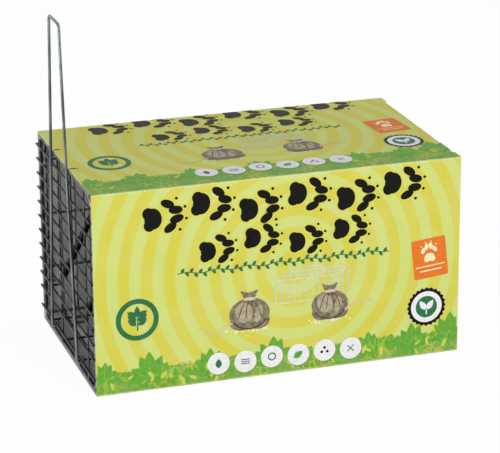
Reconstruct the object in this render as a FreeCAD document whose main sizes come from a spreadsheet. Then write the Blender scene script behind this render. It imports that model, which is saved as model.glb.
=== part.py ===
import FreeCAD, Part
import Sketcher
import math
import os
import re

# A live-catch rat cage of galvanised wire, slid into an open-ended sleeve of folded card.
# +X runs from the door end to the closed end, +Y from the front side to the back, +Z up.
# The origin is on the floor, under the middle of the whole object. Sizes are in millimetres.

SIZES = {
    # the card sleeve, outside
    "sleeve_length": 280.0,
    "sleeve_width": 167.0,
    "sleeve_height": 153.5,
    "card": 0.8,
    "sleeve_clearance": 0.35,
    "notch_margin": 0.5,
    # wires of the cage, by diameter
    "frame_wire": 2.8,
    "mesh_wire": 1.6,
    "rod_wire": 2.4,
    "weld_sink": 0.2,
    "corner_radius": 10.0,
    # side, floor and roof meshes
    "cross_wires": 23,
    "side_stay_height": 44.0,
    "side_stay_top_gap": 10.0,
    "side_stays": 3,
    "floor_stay_margin": 5.0,
    "floor_stays": 4,
    # door and rear grilles
    "end_setback": 1.0,
    "frame_gap": 0.3,
    "grille_first_height": 28.5,
    "grille_top_gap": 7.45,
    "grille_wires": 11,
    "low_wire_height": 12.5,
    "grille_stay_margin": 11.0,
    "grille_stays": 4,
    "door_wire_overhang": 1.9,
    # setting lever
    "lever_wire": 2.2,
    "lever_gap": 0.2,
    "lever_foot_spread": 78.0,
    "lever_hinge_spread": 49.0,
    "lever_tip_spread": 30.0,
    "lever_tip_height": 260.5,
    "lever_tip_radius": 4.0,
    "lever_knee_rise": 12.0,
    "lever_knee_radius": 30.0,
    "lever_foot_tail": 2.0,
    # hinge rings
    "ring_wire": 1.2,
    "ring_play": 0.1,
    "ring_shift": 6.4,
    "ring_gap": 1.0,
    # closing springs
    "anchor_distance": 60.0,
    "spring_wire": 1.0,
    "spring_diameter": 5.6,
    "spring_turns": 48,
    "spring_spread": 82.0,
    "spring_shift": 11.9,
    "hook_play": 0.2,
    "hook_shank": 4.0,
    "hook_turn": 250.0,
    # spring eyes on the door
    "eye_wire": 1.8,
    "eye_reach": 5.6,
    "eye_width": 10.0,
    "eye_radius": 2.5,
    # trigger with its bait hook
    "trigger_wire": 1.8,
    "trigger_play": 0.15,
    "trigger_loop_pitch": 2.4,
    "trigger_nose_reach": 3.6,
    "trigger_nose_radius": 1.6,
    "trigger_drop": 55.0,
    "bait_hook_radius": 5.0,
    "bait_hook_tail": 7.0,
    "trigger_bar_overhang": 2.0,
}

# Places that follow from the sizes. A plain word is a size, or a place defined above it.
PLACES = {
    "lever_offset": "frame_wire / 2 + mesh_wire + lever_gap + lever_wire / 2",
    "total_length": "sleeve_length + lever_offset + lever_wire / 2 - end_setback",
    "hinge_x": "lever_offset + lever_wire / 2 - total_length / 2",
    "lever_x": "hinge_x - lever_offset",
    "sleeve_open_x": "hinge_x - end_setback",
    "sleeve_end_x": "sleeve_open_x + sleeve_length",
    "sleeve_inner_y": "sleeve_width / 2 - card",
    # centre lines of the thick wire frames
    "frame_inset": "card + sleeve_clearance + frame_wire / 2",
    "side_y": "sleeve_width / 2 - frame_inset",
    "floor_z": "frame_inset",
    "hinge_z": "sleeve_height - frame_inset",
    "corner_y": "side_y - corner_radius",
    "corner_low_z": "floor_z + corner_radius",
    "corner_high_z": "hinge_z - corner_radius",
    "side_stay_spacing": "(corner_high_z - side_stay_top_gap - side_stay_height) / (side_stays - 1)",
    "floor_stay_spacing": "2 * (corner_y - floor_stay_margin) / (floor_stays - 1)",
    "grille_stay_spacing": "2 * (corner_y - grille_stay_margin) / (grille_stays - 1)",
    "grille_pitch": "(hinge_z - grille_top_gap - grille_first_height) / (grille_wires - 1)",
    "entrance_x": "hinge_x + frame_wire + frame_gap",
    "rear_x": "sleeve_end_x - card - sleeve_clearance - mesh_wire - frame_wire / 2",
    # long wires touch the inside of the frames, cross wires are welded on their outside
    "long_inset": "frame_wire / 2 + mesh_wire / 2",
    "cross_inset": "long_inset - mesh_wire + weld_sink",
    "cross_radius": "corner_radius - cross_inset",
    "cross_y": "side_y - cross_inset",
    "cross_low_z": "floor_z + cross_inset",
    "cross_high_z": "hinge_z - cross_inset",
    "cross_spacing": "(rear_x - entrance_x) / (cross_wires + 1)",
    "first_cross_x": "entrance_x + cross_spacing",
    "long_start_x": "entrance_x - frame_wire / 2",
    "long_length": "rear_x - entrance_x + frame_wire",
    # rods in the four long corners, against the bends of the cross wires
    "rod_corner_shift": "(cross_radius - mesh_wire / 2 - rod_wire / 2) * sqrt(0.5)",
    "rod_y": "corner_y + rod_corner_shift",
    "rod_low_z": "corner_low_z - rod_corner_shift",
    "rod_high_z": "corner_high_z + rod_corner_shift",
    # grilles: level wires outside the frame, stays inside those
    "grille_offset": "frame_wire / 2 + mesh_wire / 2",
    "stay_offset": "grille_offset - mesh_wire + weld_sink",
    "stay_low_z": "floor_z + frame_wire / 2",
    "stay_length": "hinge_z - floor_z - frame_wire",
    # bars under the roof
    "bar_z": "hinge_z - long_inset - mesh_wire / 2 - rod_wire / 2",
    "anchor_x": "hinge_x + anchor_distance",
    "trigger_bay": "round((lever_tip_height - hinge_z - frame_wire - frame_gap) / cross_spacing - 0.5)",
    "trigger_x": "entrance_x + cross_spacing * (trigger_bay + 0.5)",
    # hinge rings round the top bars of the door and of the entrance frame
    "ring_x": "(hinge_x + entrance_x) / 2",
    "ring_radius": "frame_wire / 2 + ring_play + ring_wire / 2",
    "ring_reach": "(entrance_x - hinge_x) / 2 + ring_radius",
    # spring eyes
    "eye_x": "hinge_x + eye_reach",
    "eye_z": "grille_first_height + grille_pitch",
    "spring_y": "spring_spread / 2",
}

document = FreeCAD.newDocument("RatCage")
sheet = document.addObject("Spreadsheet::Sheet", "Sizes")
for row, (alias, number) in enumerate(SIZES.items(), start=1):
    sheet.set(f"A{row}", alias)
    sheet.set(f"B{row}", str(number))
    sheet.setAlias(f"B{row}", alias)
document.recompute()

places = document.addObject("App::VarSet", "Places")


def bound(formula):
    """A formula of plain names, as an expression on the sheet and the table of places."""

    def full(match):
        word = match.group()
        if word in SIZES:
            return "Sizes." + word
        if word in PLACES:
            return "Places." + word
        return word

    return re.sub("[a-z_]+", full, formula)


for name, formula in PLACES.items():
    places.addProperty("App::PropertyFloat", name)
    places.setExpression(name, bound(formula))
document.recompute()


def size(name):
    """The present value of a size or a place."""
    if name in SIZES:
        return float(sheet.get(name))
    return getattr(places, name)


def point(x, y, z):
    return FreeCAD.Vector(x, y, z)


ORIGIN = point(0, 0, 0)
X_AXIS = point(1, 0, 0)
Y_AXIS = point(0, 1, 0)
Z_AXIS = point(0, 0, 1)
SIDES = (("front", -1), ("back", 1))
LEVELS = (("lower", "rod_low_z"), ("upper", "rod_high_z"))
nodes = []


def finish(thing, label):
    """Give a sub-part the label that names its file."""
    thing.Label = label
    nodes.append(thing)
    return thing


def signed(sign, formula):
    """The formula, turned to the front side where the sign is negative."""
    if sign < 0:
        return f"-({formula})"
    return formula


def place_at(thing, x="0", y="0", z="0"):
    """Bind an object's position to formulas."""
    for axis, formula in (("x", x), ("y", y), ("z", z)):
        thing.setExpression("Placement.Base." + axis, bound(formula))


# Straight pieces

def rod(label, diameter, length, turn, x, y, z):
    """A straight rod from the point x, y, z, turned from +Z onto its own direction."""
    cylinder = document.addObject("Part::Cylinder", label)
    cylinder.Placement = FreeCAD.Placement(ORIGIN, turn)
    cylinder.setExpression("Radius", bound(f"({diameter}) / 2"))
    cylinder.setExpression("Height", bound(length))
    place_at(cylinder, x, y, z)
    return finish(cylinder, label)


ALONG_X = FreeCAD.Rotation(Z_AXIS, X_AXIS)
ALONG_Y = FreeCAD.Rotation(Z_AXIS, Y_AXIS)


# PartDesign helpers

def origin_feature(body, role):
    for feature in body.Origin.OriginFeatures:
        if feature.Role == role:
            return feature
    raise RuntimeError(f"{body.Label} has no {role}")


def new_body(label):
    return finish(document.addObject("PartDesign::Body", label), label)


def new_sketch(body, name, plane, offset="0"):
    """A sketch on one of the body's own planes, moved along the plane's normal."""
    sketch = body.newObject("Sketcher::SketchObject", name)
    sketch.AttachmentSupport = [(origin_feature(body, plane), "")]
    sketch.MapMode = "FlatFace"
    sketch.setExpression("AttachmentOffset.Base.z", bound(offset))
    return sketch


def dimension(sketch, constraint, formula):
    """Add a dimension and bind it to a formula."""
    index = sketch.addConstraint(constraint)
    sketch.setExpression(f"Constraints[{index}]", bound(formula))


scratch = document.addObject("App::VarSet", "Scratch")
scratch.addProperty("App::PropertyFloat", "number")


def value(formula):
    """The number that a formula of plain names gives now."""
    scratch.setExpression("number", bound(formula))
    document.recompute([scratch])
    return scratch.number


def place_point(sketch, geometry, spot, across, up):
    """Hold one point of a sketch at its two distances from the sketch's origin."""
    x, y = value(across), value(up)
    dimension(sketch, Sketcher.Constraint("DistanceX", -1, 1, geometry, spot, x), across)
    dimension(sketch, Sketcher.Constraint("DistanceY", -1, 1, geometry, spot, y), up)


def add_circles(sketch, centres, diameter):
    for across, up in centres:
        middle = point(value(across), value(up), 0)
        circle = Part.Circle(middle, Z_AXIS, value(diameter) / 2)
        index = sketch.addGeometry(circle)
        place_point(sketch, index, 3, across, up)
        dimension(sketch, Sketcher.Constraint("Diameter", index, value(diameter)), diameter)


def pad_wires(body, name, plane, offset, centres, diameter, length, both_ways=False):
    """Straight wires, padded from circles in one sketch."""
    sketch = new_sketch(body, name + "Ends", plane, offset)
    add_circles(sketch, centres, diameter)
    pad = body.newObject("PartDesign::Pad", name)
    pad.Profile = sketch
    pad.setExpression("Length", bound(length))
    if both_ways:
        pad.SideType = "Symmetric"
    body.Tip = pad
    document.recompute()
    return pad


def repeat(body, name, feature, axis, spacing, count):
    """Repeat a wire along an axis of its body."""
    pattern = body.newObject("PartDesign::LinearPattern", name)
    pattern.Originals = [feature]
    pattern.Direction = (origin_feature(body, axis), [""])
    pattern.setExpression("Length", bound(f"({spacing}) * ({count} - 1)"))
    pattern.setExpression("Occurrences", bound(count))
    body.Tip = pattern
    document.recompute()
    return pattern


def spread(count, spacing):
    """Formulas of places spaced evenly about the middle plane."""
    total = int(size(count))
    middle = (total - 1) / 2
    return [f"({spacing}) * ({index - middle})" for index in range(total)]


# Wire frames: a thick wire bent to a rounded rectangle and welded shut

def frame_path(sketch):
    """A rounded rectangle, drawn clockwise from its lower left bend."""
    low, high = size("floor_z"), size("hinge_z")
    side, radius = size("side_y"), size("corner_radius")
    bends = (
        ("-corner_y", "corner_low_z", math.pi),
        ("corner_y", "corner_low_z", 1.5 * math.pi),
        ("corner_y", "corner_high_z", 0.0),
        ("-corner_y", "corner_high_z", 0.5 * math.pi),
    )
    arcs = []
    for across, up, start in bends:
        middle = point(value(across), value(up), 0)
        circle = Part.Circle(middle, Z_AXIS, radius)
        arc = sketch.addGeometry(Part.ArcOfCircle(circle, start, start + 0.5 * math.pi))
        arcs.append(arc)
    for index in (0, 2):
        across, up, _ = bends[index]
        place_point(sketch, arcs[index], 3, across, up)
    for arc in arcs[1:]:
        sketch.addConstraint(Sketcher.Constraint("Equal", arcs[0], arc))
    inner_side, inner_low, inner_high = side - radius, low + radius, high - radius
    runs = (
        (point(-inner_side, low, 0), point(inner_side, low, 0)),
        (point(side, inner_low, 0), point(side, inner_high, 0)),
        (point(inner_side, high, 0), point(-inner_side, high, 0)),
        (point(-side, inner_high, 0), point(-side, inner_low, 0)),
    )
    for index, (start, end) in enumerate(runs):
        line = sketch.addGeometry(Part.LineSegment(start, end))
        sketch.addConstraint(Sketcher.Constraint("Tangent", arcs[index], 2, line, 1))
        following = arcs[(index + 1) % len(arcs)]
        sketch.addConstraint(Sketcher.Constraint("Tangent", line, 2, following, 1))
        kind = "Horizontal" if index % 2 == 0 else "Vertical"
        sketch.addConstraint(Sketcher.Constraint(kind, line))
    dimension(sketch, Sketcher.Constraint("Radius", arcs[0], radius), "corner_radius")


def wire_frame(label, x):
    body = new_body(label)
    path = new_sketch(body, label + "Path", "YZ_Plane", x)
    frame_path(path)
    end = new_sketch(body, label + "Wire", "XZ_Plane")
    add_circles(end, [(x, "floor_z")], "frame_wire")
    pipe = body.newObject("PartDesign::AdditivePipe", label + "Pipe")
    pipe.Profile = end
    pipe.Spine = (path, [f"Edge{index + 1}" for index in range(path.GeometryCount)])
    body.Tip = pipe
    document.recompute()
    return body


wire_frame("door_frame", "hinge_x")
wire_frame("entrance_frame", "entrance_x")
wire_frame("rear_frame", "rear_x")


# Floor and roof meshes: cross wires turned up or down at both ends, on straight long wires

def tray_path(sketch, level, corner_level, upwards):
    """One cross wire: a bend, the straight run and the other bend."""
    radius, corner = size("cross_radius"), size("corner_y")
    middle_z, run_z = size(corner_level), size(level)
    first = (math.pi, 1.5 * math.pi) if upwards else (0.5 * math.pi, math.pi)
    last = (1.5 * math.pi, 2 * math.pi) if upwards else (0.0, 0.5 * math.pi)
    arcs = []
    for side, (start, end) in (("-corner_y", first), ("corner_y", last)):
        circle = Part.Circle(point(value(side), middle_z, 0), Z_AXIS, radius)
        arc = sketch.addGeometry(Part.ArcOfCircle(circle, start, end))
        arcs.append(arc)
        place_point(sketch, arc, 3, side, corner_level)
        dimension(sketch, Sketcher.Constraint("Radius", arc, radius), "cross_radius")
        turned_end = 1 if (side.startswith("-") == upwards) else 2
        sketch.addConstraint(Sketcher.Constraint("Horizontal", arc, turned_end, arc, 3))
    line = sketch.addGeometry(Part.LineSegment(point(-corner, run_z, 0), point(corner, run_z, 0)))
    inner_end = 2 if upwards else 1
    sketch.addConstraint(Sketcher.Constraint("Tangent", arcs[0], inner_end, line, 1))
    sketch.addConstraint(Sketcher.Constraint("Tangent", line, 2, arcs[1], 3 - inner_end))


def tray_mesh(label, level, corner_level, long_level, upwards):
    body = new_body(label)
    path = new_sketch(body, label + "Path", "YZ_Plane", "first_cross_x")
    tray_path(path, level, corner_level, upwards)
    end = new_sketch(body, label + "Wire", "XY_Plane", corner_level)
    add_circles(end, [("first_cross_x", "-cross_y")], "mesh_wire")
    bent = body.newObject("PartDesign::AdditivePipe", label + "CrossWire")
    bent.Profile = end
    bent.Spine = (path, [f"Edge{index + 1}" for index in range(path.GeometryCount)])
    document.recompute()
    repeat(body, label + "CrossWires", bent, "X_Axis", "cross_spacing", "cross_wires")
    stays = [(across, long_level) for across in spread("floor_stays", "floor_stay_spacing")]
    pad_wires(body, label + "Stays", "YZ_Plane", "long_start_x", stays, "mesh_wire", "long_length")
    return body


tray_mesh("floor_mesh", "cross_low_z", "corner_low_z", "floor_z + long_inset", True)
tray_mesh("roof_mesh", "cross_high_z", "corner_high_z", "hinge_z - long_inset", False)


# Side meshes: upright wires on three long wires

def side_mesh(label, sign):
    body = new_body(label)
    wire = pad_wires(
        body, label + "Upright", "XY_Plane", "corner_low_z",
        [("first_cross_x", signed(sign, "cross_y"))], "mesh_wire", "corner_high_z - corner_low_z",
    )
    repeat(body, label + "Uprights", wire, "X_Axis", "cross_spacing", "cross_wires")
    stays = [
        (signed(sign, "side_y - long_inset"), f"side_stay_height + side_stay_spacing * {index}")
        for index in range(int(size("side_stays")))
    ]
    pad_wires(body, label + "Stays", "YZ_Plane", "long_start_x", stays, "mesh_wire", "long_length")
    return body


for side, sign in SIDES:
    side_mesh(side + "_side_mesh", sign)


# Door and rear grilles: level wires on upright stays

def grille(label, frame, sign, half_width):
    """Sign is -1 where the level wires lie towards -X of the frame, 1 where towards +X."""
    body = new_body(label)
    wire_x = f"{frame} + {signed(sign, 'grille_offset')}"
    stay_x = f"{frame} + {signed(sign, 'stay_offset')}"
    width = f"2 * ({half_width})"
    wire = pad_wires(
        body, label + "Wire", "XZ_Plane", "0",
        [(wire_x, "grille_first_height")], "mesh_wire", width, both_ways=True,
    )
    repeat(body, label + "Wires", wire, "Z_Axis", "grille_pitch", "grille_wires")
    pad_wires(
        body, label + "LowWire", "XZ_Plane", "0",
        [(wire_x, "low_wire_height")], "mesh_wire", width, both_ways=True,
    )
    stays = [(stay_x, across) for across in spread("grille_stays", "grille_stay_spacing")]
    pad_wires(body, label + "Stays", "XY_Plane", "stay_low_z", stays, "mesh_wire", "stay_length")
    return body


grille("door_grille", "hinge_x", -1, "side_y + door_wire_overhang")
grille("rear_grille", "rear_x", 1, "side_y + frame_wire / 2")


# Corner rods, and the two bars under the roof

for level, height in LEVELS:
    for side, sign in SIDES:
        rod(f"{level}_{side}_rod", "rod_wire", "long_length", ALONG_X,
            "long_start_x", signed(sign, "rod_y"), height)

anchor_half = "rod_y - rod_wire / 2"
rod("spring_anchor_bar", "rod_wire", f"2 * ({anchor_half})", ALONG_Y,
    "anchor_x", f"-({anchor_half})", "bar_z")

trigger_half = "floor_stay_spacing / 2 + trigger_bar_overhang"
rod("trigger_bar", "rod_wire", f"2 * ({trigger_half})", ALONG_Y,
    "trigger_x", f"-({trigger_half})", "bar_z")


# Bent wires. Two points nearer than this are one.

CLOSE = 1e-6


def bent_path(corners, radii):
    """Straight runs through the corners, with a tangent arc of the given radius at each one between."""
    edges = []
    start = corners[0]
    for before, corner, after, radius in zip(corners, corners[1:], corners[2:], radii):
        arriving = (corner - before).normalize()
        leaving = (after - corner).normalize()
        half_turn = arriving.getAngle(leaving) / 2
        reach = radius * math.tan(half_turn)
        first = corner - arriving * reach
        last = corner + leaving * reach
        inward = (leaving - arriving).normalize()
        crown = corner + inward * (radius / math.cos(half_turn) - radius)
        if start.distanceToPoint(first) > CLOSE:
            edges.append(Part.makeLine(start, first))
        edges.append(Part.Arc(first, crown, last).toShape())
        start = last
    edges.append(Part.makeLine(start, corners[-1]))
    return Part.Wire(edges)


def swept(path, diameter):
    """A round wire along a path."""
    start = path.Edges[0].Vertexes[0].Point
    heading = path.Edges[0].tangentAt(path.Edges[0].FirstParameter)
    section = Part.Wire(Part.makeCircle(diameter / 2, start, heading))
    return path.makePipeShell([section], True, False)


def wire_piece(label, shape):
    """A sub-part whose shape is worked out here from the sheet."""
    piece = document.addObject("Part::Feature", label)
    piece.Shape = shape
    return finish(piece, label)


def turned_corners(corners, radius):
    """The same bend radius at every corner between the ends."""
    return bent_path(corners, [radius] * (len(corners) - 2))


# Hinge rings: oval links of wire round the top bars of the door and of the entrance frame

def ring_path(y):
    """Once round both bars, from one side of the gap below them to the other."""
    x, z, half_gap = size("ring_x"), size("hinge_z"), size("ring_gap") / 2
    reach, radius = size("ring_reach"), size("ring_radius")
    corners = [
        point(x + half_gap, y, z - radius),
        point(x + reach, y, z - radius),
        point(x + reach, y, z + radius),
        point(x - reach, y, z + radius),
        point(x - reach, y, z - radius),
        point(x - half_gap, y, z - radius),
    ]
    return turned_corners(corners, radius)


RING_PLACES = {side: f"{signed(sign, 'lever_hinge_spread / 2')} + ring_shift" for side, sign in SIDES}
for side, y in RING_PLACES.items():
    wire_piece(side + "_hinge_ring", swept(ring_path(value(y)), size("ring_wire")))


# Setting lever: a tall loop of wire, fixed to the outside of the door

def lever_path():
    """Up the back leg from its foot curl, across the tip and down the front leg."""
    x = size("lever_x")
    curl = size("lever_offset") - size("grille_offset")
    low = size("low_wire_height")
    foot, tip = size("lever_foot_spread") / 2, size("lever_tip_spread") / 2
    waist = size("lever_hinge_spread") / 2
    knee_z = low + size("lever_knee_rise")
    leg = [
        point(x + 2 * curl, foot, low + size("lever_foot_tail")),
        point(x + 2 * curl, foot, low - curl),
        point(x, foot, low - curl),
        point(x, foot, knee_z),
        point(x, waist, size("hinge_z")),
        point(x, tip, size("lever_tip_height")),
    ]
    knee, bend = size("lever_knee_radius"), size("lever_tip_radius")
    radii = [curl, curl, knee, knee, bend]
    other = [point(corner.x, -corner.y, corner.z) for corner in reversed(leg)]
    return bent_path(leg + other, radii + radii[::-1])


wire_piece("setting_lever", swept(lever_path(), size("lever_wire")))


# Spring eyes: small staples on the inner side of a level door wire

def eye_path(sign):
    inner, outer = size("eye_x"), size("hinge_x") - size("grille_offset") + size("mesh_wire") / 2
    middle = size("spring_shift") + sign * size("spring_y")
    near, far = middle - sign * size("eye_width") / 2, middle + sign * size("eye_width") / 2
    z = size("eye_z")
    corners = [point(outer, near, z), point(inner, near, z), point(inner, far, z), point(outer, far, z)]
    return turned_corners(corners, size("eye_radius"))


for side, sign in SIDES:
    wire_piece(side + "_spring_eye", swept(eye_path(sign), size("eye_wire")))


# Closing springs. Each hangs from a hook on the anchor bar, and its own lower hook holds the eye.

def smooth_arcs(start, start_heading, end, end_heading):
    """Two arcs that leave and arrive along the given headings."""
    across = end - start
    both = start_heading + end_heading
    spare = 2 * (1 - start_heading.dot(end_heading))
    reach = (math.sqrt(across.dot(both) ** 2 + spare * across.dot(across)) - across.dot(both)) / spare
    leave, arrive = start + start_heading * reach, end - end_heading * reach
    middle = (leave + arrive) / 2
    arcs = []
    for first, apex, last in ((start, leave, middle), (middle, arrive, end)):
        chord_middle = (first + last) / 2
        half_chord = (last - first).Length / 2
        rise = (apex - chord_middle).Length
        quarter_turn = math.atan2(rise, half_chord) / 2
        crown = chord_middle + (apex - chord_middle) * (half_chord * math.tan(quarter_turn) / rise)
        arcs.append(Part.Arc(first, crown, last).toShape())
    return arcs


def spring_places(sign):
    """The spring's own directions and lengths, from the anchor bar down to the eye."""
    top = point(size("anchor_x"), 0, size("bar_z"))
    foot = point(size("eye_x"), 0, size("eye_z"))
    down = foot - top
    length = down.Length
    down.normalize()
    across = point(-down.z, 0, down.x)
    coil_radius = (size("spring_diameter") - size("spring_wire")) / 2
    coil_y = size("spring_shift") + sign * (size("spring_y") - coil_radius)
    wire, play = size("spring_wire"), size("hook_play")
    return {
        "length": length,
        "coil_radius": coil_radius,
        "top_hook": size("rod_wire") / 2 + play + wire / 2,
        "foot_hook": size("eye_wire") / 2 + play + wire / 2,
        "origin": point(top.x, coil_y, top.z),
        "across": across,
        "sideways": Y_AXIS * sign,
        "down": down,
    }


def spring_point(spring, across, sideways, down):
    return (spring["origin"] + spring["across"] * across
            + spring["sideways"] * sideways + spring["down"] * down)


def spring_heading(spring, across, sideways, down):
    return spring["across"] * across + spring["sideways"] * sideways + spring["down"] * down


def hook_arc(spring, centre_down, radius, start, turn):
    """A bend round a bar. Angles run from across towards down, in degrees."""
    places_on_arc = []
    for share in (0, 0.5, 1):
        angle = math.radians(start + turn * share)
        places_on_arc.append(spring_point(
            spring, radius * math.cos(angle), spring["coil_radius"],
            centre_down + radius * math.sin(angle)))
    return Part.Arc(*places_on_arc).toShape()


def bend_into_coil(spring, level, radius, slope, first_across, leaving):
    """The bend between a shank, which runs along the spring, and the coil's slope."""
    bend_radius = radius / (1 - math.sin(slope))
    turn = math.pi / 2 - slope
    side = 1 if first_across > 0 else -1
    places_on_arc = []
    for share in (0, 0.5, 1):
        angle = turn * share
        places_on_arc.append(spring_point(
            spring, side * (radius - bend_radius * (1 - math.cos(angle))), spring["coil_radius"],
            level + leaving * bend_radius * math.sin(angle)))
    if leaving < 0:
        places_on_arc.reverse()
    return Part.Arc(*places_on_arc).toShape()


SLOPE_ROUNDS = 8


def spring_shapes(sign):
    """The upper hook's line, the line of the coil with its lower hook, and the coil's pitch."""
    spring = spring_places(sign)
    wire = size("spring_wire")
    coil_radius = spring["coil_radius"]
    turns = int(size("spring_turns"))
    shank = size("hook_shank")
    length = spring["length"]
    # the coil's slope sets the room that its two end bends take, which sets its slope
    slope = 0.0
    for _ in range(SLOPE_ROUNDS):
        top_bend = spring["top_hook"] / (1 - math.sin(slope)) * math.cos(slope)
        foot_bend = spring["foot_hook"] / (1 - math.sin(slope)) * math.cos(slope)
        coil_top = shank + wire + top_bend
        coil_foot = length - shank - foot_bend
        pitch = (coil_foot - coil_top) / turns
        slope = math.atan2(pitch, 2 * math.pi * coil_radius)
    top_hook = Part.Wire([
        hook_arc(spring, 0, spring["top_hook"], -size("hook_turn"), size("hook_turn")),
        Part.makeLine(
            spring_point(spring, spring["top_hook"], coil_radius, 0),
            spring_point(spring, spring["top_hook"], coil_radius, shank)),
    ])
    edges = [
        Part.makeLine(
            spring_point(spring, spring["top_hook"], coil_radius, shank),
            spring_point(spring, spring["top_hook"], coil_radius, shank + wire)),
        bend_into_coil(spring, shank + wire, spring["top_hook"], slope, 1, 1),
    ]
    half_turns = 2 * turns
    path_points = []
    for index in range(half_turns + 1):
        angle = math.pi * index
        place = spring_point(
            spring, -coil_radius * math.sin(angle), coil_radius * math.cos(angle),
            coil_top + pitch * index / 2)
        heading = spring_heading(
            spring, -math.cos(slope) * math.cos(angle), -math.cos(slope) * math.sin(angle),
            math.sin(slope))
        path_points.append((place, heading))
    for (start, start_heading), (end, end_heading) in zip(path_points, path_points[1:]):
        edges.extend(smooth_arcs(start, start_heading, end, end_heading))
    edges += [
        bend_into_coil(spring, length - shank, spring["foot_hook"], slope, -1, -1),
        Part.makeLine(
            spring_point(spring, -spring["foot_hook"], coil_radius, length - shank),
            spring_point(spring, -spring["foot_hook"], coil_radius, length)),
        hook_arc(spring, length, spring["foot_hook"], 180, -size("hook_turn")),
    ]
    return top_hook, Part.Wire(edges), pitch


def least_gap(path, diameter, turn_length):
    """The least gap of a wound wire to itself, on points of its middle line."""
    count = int(path.Length / (diameter / 2))
    dots = path.discretize(Number=count)
    step = path.Length / (count - 1)
    skip = int(turn_length / 2 / step)
    least = path.Length
    for index, dot in enumerate(dots):
        window = dots[index + skip:index + 4 * skip]
        for other in window:
            least = min(least, dot.distanceToPoint(other))
    return least - diameter


for side, sign in SIDES:
    hook_line, coil_line, pitch = spring_shapes(sign)
    wire_piece(side + "_spring_hook", swept(hook_line, size("spring_wire")))
    wire_piece(side + "_spring", swept(coil_line, size("spring_wire")))
    turn_length = math.pi * (size("spring_diameter") - size("spring_wire"))
    gap = least_gap(coil_line, size("spring_wire"), turn_length)
    print(f"{side}_spring: {int(size('spring_turns'))} turns, pitch {pitch:.2f}, gap to itself {gap:.2f}")


# Trigger: one wire, with a nose above the roof, a loop round its bar and a bait hook below

def trigger_shape():
    wire = size("trigger_wire")
    x, z = size("trigger_x"), size("bar_z")
    loop = size("rod_wire") / 2 + size("trigger_play") + wire / 2
    pitch = size("trigger_loop_pitch")
    nose_z = size("sleeve_height") - size("card") - size("sleeve_clearance") - wire / 2
    stem_x = x - loop
    upper_y, lower_y = -pitch / 2, pitch / 2
    above = turned_corners([
        point(x + size("trigger_nose_reach"), upper_y, nose_z),
        point(stem_x, upper_y, nose_z),
        point(stem_x, upper_y, z),
    ], size("trigger_nose_radius"))
    quarters = 4
    spots = []
    for index in range(quarters + 1):
        share = index / quarters
        angle = math.pi + 2 * math.pi * share
        drift = share - math.sin(2 * math.pi * share) / (2 * math.pi)
        drift_rate = (1 - math.cos(2 * math.pi * share)) * pitch
        heading = point(
            -2 * math.pi * loop * math.sin(angle), drift_rate, 2 * math.pi * loop * math.cos(angle))
        place = point(x + loop * math.cos(angle), upper_y + pitch * drift, z + loop * math.sin(angle))
        spots.append((place, heading.normalize()))
    round_bar = []
    for (start, start_heading), (end, end_heading) in zip(spots, spots[1:]):
        round_bar.extend(smooth_arcs(start, start_heading, end, end_heading))
    hook = size("bait_hook_radius")
    bottom = z - size("trigger_drop")
    below = turned_corners([
        point(stem_x, lower_y, z),
        point(stem_x, lower_y, bottom - hook),
        point(stem_x - 2 * hook, lower_y, bottom - hook),
        point(stem_x - 2 * hook, lower_y, bottom + size("bait_hook_tail")),
    ], hook)
    return swept(Part.Wire(above.Edges + round_bar + below.Edges), wire)


wire_piece("trigger", trigger_shape())


# Card sleeve: four walls and a closed end, which meet at the folds

def panel(name, x, y, z, length, width, height):
    box = document.addObject("Part::Box", name)
    box.setExpression("Length", bound(length))
    box.setExpression("Width", bound(width))
    box.setExpression("Height", bound(height))
    place_at(box, x, y, z)
    return box


def card_sleeve():
    inner_width = "2 * sleeve_inner_y"
    inner_height = "sleeve_height - 2 * card"
    back = "sleeve_width / 2"
    lid_z = "sleeve_height - card"
    bottom = panel("BottomPanel", "sleeve_open_x", f"-{back}", "0",
                   "sleeve_length", "sleeve_width", "card")
    lid = panel("TopPanel", "sleeve_open_x", f"-{back}", lid_z,
                "sleeve_length", "sleeve_width", "card")
    notch_length = "ring_x + ring_reach + ring_wire / 2 + notch_margin - sleeve_open_x"
    notch_width = "ring_wire + 2 * notch_margin"
    notches = [
        panel(side.capitalize() + "Notch", "sleeve_open_x", f"{y} - ({notch_width}) / 2", lid_z,
              notch_length, notch_width, "card")
        for side, y in RING_PLACES.items()
    ]
    both = document.addObject("Part::MultiFuse", "Notches")
    both.Shapes = notches
    top = document.addObject("Part::Cut", "NotchedTopPanel")
    top.Base = lid
    top.Tool = both
    walls = [
        panel(side.capitalize() + "Panel", "sleeve_open_x", y, "card",
              "sleeve_length", "card", inner_height)
        for side, y in (("front", f"-{back}"), ("back", f"{back} - card"))
    ]
    end = panel("EndPanel", "sleeve_end_x - card", "-sleeve_inner_y", "card",
                "card", inner_width, inner_height)
    sleeve = document.addObject("Part::Compound", "card_sleeve")
    sleeve.Links = [bottom, top, *walls, end]
    return finish(sleeve, "card_sleeve")


card_sleeve()

document.recompute()

# Checks, then one file for each sub-part

for thing in document.Objects:
    if "Invalid" in thing.State or "Error" in thing.State:
        raise RuntimeError(f"{thing.Label} failed: {thing.State}")
for node in nodes:
    if node.Shape.isNull() or not node.Shape.isValid():
        raise RuntimeError(f"{node.Label} has no valid shape")

os.makedirs("parts", exist_ok=True)
for node in nodes:
    node.Shape.exportStep(f"parts/{node.Label}.step")
    box = node.Shape.BoundBox
    print(
        f"{node.Label}: {len(node.Shape.Solids)} solids, {node.Shape.Volume:.1f} mm3, "
        f"x {box.XMin:.2f} to {box.XMax:.2f}, y {box.YMin:.2f} to {box.YMax:.2f}, "
        f"z {box.ZMin:.2f} to {box.ZMax:.2f}")
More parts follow.
